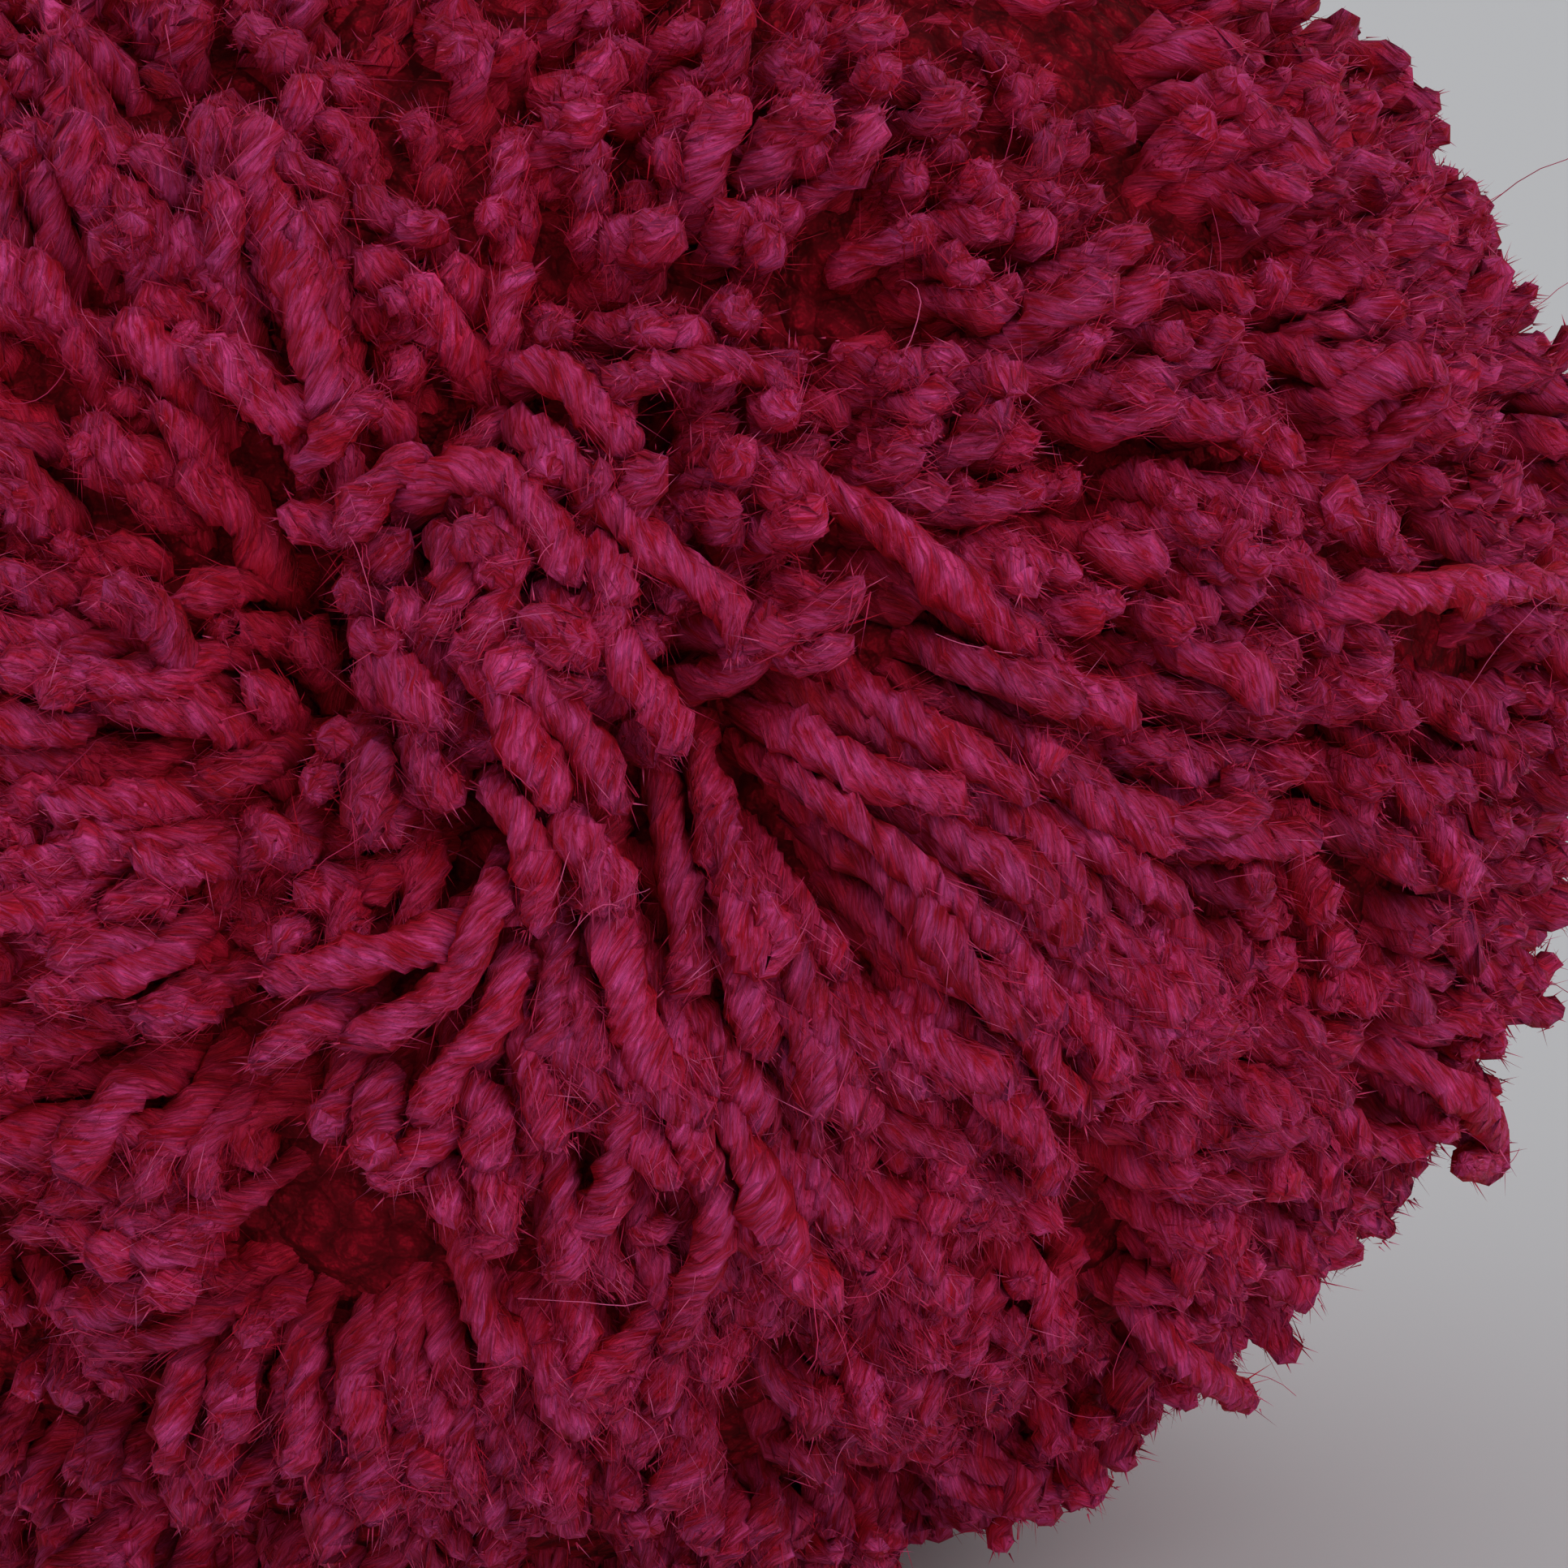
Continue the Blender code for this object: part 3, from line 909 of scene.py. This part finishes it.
def yarn_material():
    """Spun yarn: painted light as pink patches on the sides that face out near the surface, over a red
    that turns to a painted shade colour on the flanks and deep down.
    """
    nodes = Nodes("spun_yarn")
    tone_and_painted_light = nodes.add("ShaderNodeAttribute", {"attribute_name": "tone_and_painted_light"})
    parts = nodes.add("ShaderNodeSeparateColor", Color=tone_and_painted_light.outputs["Color"])
    # bright is each strand's own tone; the other two carry painted shade with depth and painted light on
    # the sides that face out.
    bright, near, painted_light_facing = parts.outputs[:3]
    place = nodes.add("ShaderNodeUVMap", {"uv_map": "Yarn"})
    stretched = nodes.add("ShaderNodeMapping", Vector=place.outputs[0], Scale=(1.0, 4.2, 1))
    fibres = nodes.add(
        "ShaderNodeTexNoise",
        Vector=stretched.outputs[0],
        Scale=1.0,
        Detail=4.0,
        Roughness=0.70,
        Distortion=1.2,
    )
    patches = nodes.add("ShaderNodeTexNoise", Vector=place.outputs[0], Scale=0.8, Detail=3.0)
    fluff = nodes.math("MULTIPLY", patches.outputs[0], 0.50)
    fluff = nodes.math("MULTIPLY_ADD", fibres.outputs[0], 0.50, fluff)
    # Painted highlights: pink patches where the fibre noise is high, on sides that face out near the
    # surface.
    lit = nodes.math("MULTIPLY", nodes.ramp(fluff, 0.42, 0.62), nodes.ramp(painted_light_facing, 0.50, 0.95))
    lit = nodes.math("MULTIPLY", lit, near)
    # Painted shade: the shaded red on the flanks and deep down, the body red where the yarn faces out near
    # the surface.
    side = nodes.math("MULTIPLY", nodes.ramp(painted_light_facing, 0.35, 0.85), near)
    colour = nodes.mix(side, SHADED_RED, BODY)
    colour = nodes.mix(lit, colour, LIT)
    # Painted light and shade from the fibre noise, times each strand's own brightness.
    light = nodes.math("MULTIPLY_ADD", fluff, 1.5, 0.23)
    light = nodes.math("MULTIPLY", light, bright)
    colour = nodes.mix(1.0, colour, light, "MULTIPLY")
    bump = nodes.add("ShaderNodeBump", Height=fluff, Strength=1.0, Distance=0.0006)
    nodes.put(nodes.shader.inputs["Base Color"], colour)
    nodes.put(nodes.shader.inputs["Normal"], bump.outputs[0])
    nodes.shader.inputs["Roughness"].default_value = 0.65
    nodes.shader.inputs["Specular IOR Level"].default_value = 0.15
    return nodes.material


def nap_material():
    """Loose fibres: painted shade, a red, deep down and where they face away; painted light, pink, near
    the surface where they face out and towards their tips; on some lit ones a pale painted glint.
    """
    nodes = Nodes("loose_fibres")
    tone_and_painted_light = nodes.add("ShaderNodeAttribute", {"attribute_name": "tone_and_painted_light"})
    parts = nodes.add("ShaderNodeSeparateColor", Color=tone_and_painted_light.outputs["Color"])
    bright = parts.outputs[0]
    # Painted light from where the fibre grows and how near its tip.
    shown = nodes.math("MULTIPLY", parts.outputs[1], parts.outputs[2])
    colour = nodes.mix(shown, SHADED_FIBRE, LIT_FIBRE)
    colour = nodes.mix(1.0, colour, bright, "MULTIPLY")
    # Painted glints, pale, on the brightest of the lit fibres.
    glint_share = nodes.math("MULTIPLY", nodes.ramp(bright, 1.18, 1.28), nodes.ramp(shown, 0.2, 0.7))
    colour = nodes.mix(glint_share, colour, PAINTED_GLINT)
    nodes.put(nodes.shader.inputs["Base Color"], colour)
    nodes.shader.inputs["Roughness"].default_value = 0.6
    nodes.shader.inputs["Specular IOR Level"].default_value = 0.15
    return nodes.material


def inner_material():
    """Packed yarn seen end on: lighter middles with painted shade in the gaps between them."""
    nodes = Nodes("inner_yarn")
    texture = nodes.add("ShaderNodeTexCoord")
    place = texture.outputs["Object"]
    noise = nodes.add("ShaderNodeTexNoise", Vector=place, Scale=900.0, Detail=3.0)
    cells = nodes.add("ShaderNodeTexVoronoi", Vector=place, Scale=620.0)
    raised = nodes.math("ADD", noise.outputs[0], 0.5)
    height = nodes.math("MULTIPLY_ADD", cells.outputs[0], -1.3, raised)
    # Painted shade in the gaps between the packed yarn ends.
    colour = nodes.mix(nodes.ramp(height, 0.1, 0.9), PAINTED_GAP_SHADE, PACKED)
    bump = nodes.add("ShaderNodeBump", Height=height, Strength=1.0, Distance=0.0025)
    nodes.put(nodes.shader.inputs["Base Color"], colour)
    nodes.put(nodes.shader.inputs["Normal"], bump.outputs[0])
    nodes.shader.inputs["Roughness"].default_value = 0.95
    nodes.shader.inputs["Specular IOR Level"].default_value = 0.1
    return nodes.material


def build_pompom():
    rng = np.random.default_rng(3)
    strands = plan_strands(rng)
    angle = np.degrees(np.arccos(np.clip(dot(strands["root"], unit(DETAIL_MIDDLE)), -1, 1)))
    yarn, nap, inner = yarn_material(), nap_material(), inner_material()
    total = build_inner(inner)
    grown = {}
    inside = 0
    for detail in DETAIL:
        chosen = np.flatnonzero((angle >= inside) & (angle < detail["out_to_deg"]))
        inside = detail["out_to_deg"]
        rings = detail["buried"] + detail["shown"]
        each = rings * detail["columns"] * 2 + detail["columns"] * 2
        parts = math.ceil(len(chosen) * each / MOST_TRIANGLES)
        grown[detail["name"]] = []
        for number, part in enumerate(np.array_split(chosen, parts)):
            name = "yarn_" + detail["name"] + "_" + str(number + 1)
            chosen_strands = choose(strands, part)
            path = strand_paths(chosen_strands, detail, rng)
            made, places = build_yarn(name, chosen_strands, path, detail, yarn, rng)
            grown[detail["name"]].append(places)
            total += made

    path = placed_paths()
    placed = {"bright": rng.uniform(0.95, 1.15, len(path))}
    made, places = build_yarn("yarn_placed", placed, path, DETAIL[0], yarn, rng)
    grown["near"].append(places)
    total += made

    for detail in DETAIL:
        zone, share = detail["name"], detail["fibre"]
        fibres = []
        for growth in grown[zone]:
            for kind in NAP:
                places = nap_on(growth, kind[zone], NAP_SHOWN, rng)
                fibres.append(spikes(places, kind, share, rng))
            places = nap_on_tips(growth, TIP_NAP[zone], rng)
            fibres.append(spikes(places, TIP_NAP, share, rng))
        points = np.concatenate([one["points"] for one in fibres])
        lit = np.concatenate([one["lit"] for one in fibres])
        parts = math.ceil(len(points) * len(SPIKE_FACES) / MOST_TRIANGLES)
        for number, part in enumerate(np.array_split(np.arange(len(points)), parts)):
            name = "nap_" + zone + "_" + str(number + 1)
            total += build_nap(name, points[part], lit[part], nap, rng)

    hairs = []
    for name, count in HAIRS.items():
        for places in grown[name]:
            hairs.append(flyaways(places, count / len(grown[name]), rng))
    path = np.concatenate([one[0] for one in hairs])
    outline = np.concatenate([one[1] for one in hairs])
    total += build_flyaways("long_fibres", path, outline, nap, rng)
    print("all", total, "triangles")


def build_floor():
    mesh = bpy.data.meshes.new("floor")
    half = FLOOR_SIZE / 2
    corners = [(-half, -half, 0), (half, -half, 0), (half, half, 0), (-half, half, 0)]
    mesh.from_pydata(corners, [], [(0, 1, 2, 3)])
    nodes = Nodes("pale_floor")
    nodes.shader.inputs["Base Color"].default_value = FLOOR_COLOUR
    nodes.shader.inputs["Roughness"].default_value = 0.9
    nodes.shader.inputs["Specular IOR Level"].default_value = 0.1
    mesh.materials.append(nodes.material)
    floor = bpy.data.objects.new("floor", mesh)
    bpy.context.scene.collection.objects.link(floor)


def aim(obj, place, target):
    direction = Vector(target - place)
    obj.location = place
    obj.rotation_mode = "QUATERNION"
    obj.rotation_quaternion = direction.to_track_quat("-Z", "Y")


def build_lights():
    """A broad, far lamp at the right above the camera, and a pale room all round."""
    data = bpy.data.lights.new("key_light", "SUN")
    data.energy = KEY_STRENGTH
    data.angle = KEY_SPREAD
    lamp = bpy.data.objects.new("key_light", data)
    bpy.context.scene.collection.objects.link(lamp)
    aim(lamp, CENTRE + KEY_FROM, CENTRE)
    world = bpy.data.worlds.new("soft_room")
    world.use_nodes = True
    background = world.node_tree.nodes["Background"]
    background.inputs["Color"].default_value = ROOM_COLOUR
    background.inputs["Strength"].default_value = ROOM_STRENGTH
    bpy.context.scene.world = world


def build_camera():
    data = bpy.data.cameras.new("camera")
    data.sensor_width = SENSOR_WIDTH * 1000
    data.lens = SENSOR_WIDTH * 1000 * CAMERA_DISTANCE / FRAME_WIDTH
    data.clip_start = 0.01
    data.clip_end = 20
    camera = bpy.data.objects.new("camera", data)
    bpy.context.scene.collection.objects.link(camera)
    turn = Matrix([RIGHT, UP, TO_CAMERA]).transposed()
    camera.matrix_world = Matrix.Translation(CAMERA_PLACE) @ turn.to_4x4()
    bpy.context.scene.camera = camera


build_pompom()
build_floor()
build_lights()
build_camera()
bpy.context.scene.view_settings.view_transform = "Standard"
